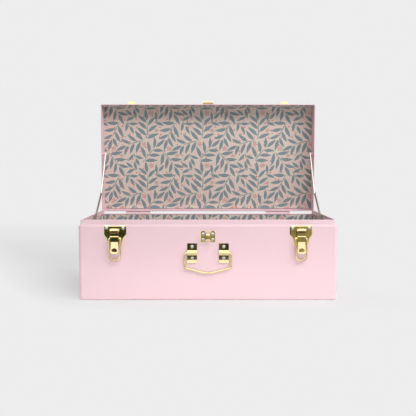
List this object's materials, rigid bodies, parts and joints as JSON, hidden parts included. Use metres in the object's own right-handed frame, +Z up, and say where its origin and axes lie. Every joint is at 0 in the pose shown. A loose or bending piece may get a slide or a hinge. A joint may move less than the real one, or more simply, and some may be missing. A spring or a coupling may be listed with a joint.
{
  "type": "storage trunk",
  "caption": "Rectangular sheet metal storage trunk with a hinged lid, folding stays, draw latches, a centre hasp and staple, a swinging wire handle and a cloth lining.",
  "frame": {"origin": "middle of the trunk's flat underside, on the floor", "axes": "+X to the right of someone who faces the latches, along the trunk's length; +Y towards the hinges at the back; +Z up"},
  "size_m": [0.6, 0.3679, 0.494],
  "materials": {
    "pink_paint": "smooth satin pink paint",
    "brass": "bright polished brass plate",
    "rivet_steel": "bright nickel plate",
    "stay_steel": "zinc plated, slightly dull",
    "lining_cloth": "woven cotton with printed leaf sprigs, glued over board"
  },
  "bodies": {
    "chest": {"body_front": "pink_paint", "body_back": "pink_paint", "body_end_left": "pink_paint", "body_end_right": "pink_paint", "body_floor": "pink_paint", "lining_front": "lining_cloth", "lining_back": "lining_cloth", "lining_left": "lining_cloth", "lining_right": "lining_cloth", "lining_floor": "lining_cloth", "hinge_body_leaf_left": "pink_paint", "hinge_body_leaf_right": "pink_paint", "hinge_body_rivets": "pink_paint", "hinge_pin_left": "pink_paint", "hinge_pin_right": "pink_paint", "latch_plate_left": "brass", "latch_plate_right": "brass", "latch_pin_left": "brass", "latch_pin_right": "brass", "latch_rivets": "rivet_steel", "staple_plate": "brass", "staple": "brass", "staple_rivets": "rivet_steel", "handle_bracket_left": "brass", "handle_bracket_right": "brass", "handle_rivets": "rivet_steel", "stay_body_post_left": "stay_steel", "stay_body_post_right": "stay_steel"},
    "lid": {"lid_shell": "pink_paint", "lid_end_left": "pink_paint", "lid_end_right": "pink_paint", "lid_lining": "lining_cloth", "hinge_lid_leaf_left": "pink_paint", "hinge_lid_leaf_right": "pink_paint", "hinge_lid_rivets": "pink_paint", "keeper_left": "brass", "keeper_right": "brass", "keeper_rivets": "rivet_steel", "hasp_base": "brass", "hasp_pin": "brass", "hasp_rivets": "rivet_steel", "stay_lid_post_left": "stay_steel", "stay_lid_post_right": "stay_steel"},
    "hasp": {"hasp_leaf": "brass"},
    "handle": {"handle": "brass"},
    "lever_left": {"latch_lever_left": "brass"},
    "bail_left": {"latch_bail_left": "brass"},
    "stay_lower_left": {"stay_lower_left": "stay_steel"},
    "stay_upper_left": {"stay_upper_left": "stay_steel"},
    "lever_right": {"latch_lever_right": "brass"},
    "bail_right": {"latch_bail_right": "brass"},
    "stay_lower_right": {"stay_lower_right": "stay_steel"},
    "stay_upper_right": {"stay_upper_right": "stay_steel"}
  },
  "joints": [
    {"name": "lid_hinge", "type": "hinge", "parent": "chest", "child": "lid", "pos_m": [0, 0.156, 0.177], "axis": [-1, 0, 0], "range_deg": [-90, 0]},
    {"name": "handle_swing", "type": "hinge", "parent": "chest", "child": "handle", "pos_m": [0, -0.153, 0.1113], "axis": [-1, 0, 0], "range_deg": [0, 160]},
    {"name": "hasp_swing", "type": "hinge", "parent": "lid", "child": "hasp", "pos_m": [0, 0.1592, 0.488], "axis": [-1, 0, 0], "range_deg": [-180, 0]},
    {"name": "latch_lever_left", "type": "hinge", "parent": "chest", "child": "lever_left", "pos_m": [-0.215, -0.1566, 0.163], "axis": [-1, 0, 0], "range_deg": [0, 120]},
    {"name": "latch_bail_left", "type": "hinge", "parent": "lever_left", "child": "bail_left", "pos_m": [-0.215, -0.1556, 0.1448], "axis": [1, 0, 0], "range_deg": [-181.77, 0]},
    {"name": "stay_lower_left", "type": "hinge", "parent": "chest", "child": "stay_lower_left", "pos_m": [-0.29135, -0.008, 0.164], "axis": [-1, 0, 0], "range_deg": [0, 20]},
    {"name": "stay_upper_left", "type": "hinge", "parent": "lid", "child": "stay_upper_left", "pos_m": [-0.28955, 0.172, 0.345], "axis": [-1, 0, 0], "range_deg": [-35.4, 0]},
    {"name": "latch_lever_right", "type": "hinge", "parent": "chest", "child": "lever_right", "pos_m": [0.215, -0.1566, 0.163], "axis": [-1, 0, 0], "range_deg": [0, 120]},
    {"name": "latch_bail_right", "type": "hinge", "parent": "lever_right", "child": "bail_right", "pos_m": [0.215, -0.1556, 0.1448], "axis": [1, 0, 0], "range_deg": [-181.77, 0]},
    {"name": "stay_lower_right", "type": "hinge", "parent": "chest", "child": "stay_lower_right", "pos_m": [0.29135, -0.008, 0.164], "axis": [-1, 0, 0], "range_deg": [0, 20]},
    {"name": "stay_upper_right", "type": "hinge", "parent": "lid", "child": "stay_upper_right", "pos_m": [0.28955, 0.172, 0.345], "axis": [-1, 0, 0], "range_deg": [-35.4, 0]}
  ],
  "couplings": [
    {"joint": "stay_lower_left", "follows": "lid_hinge", "ratio": -0.22093},
    {"joint": "stay_upper_left", "follows": "lid_hinge", "ratio": 0.39192},
    {"joint": "stay_lower_right", "follows": "lid_hinge", "ratio": -0.22093},
    {"joint": "stay_upper_right", "follows": "lid_hinge", "ratio": 0.39192}
  ]
}
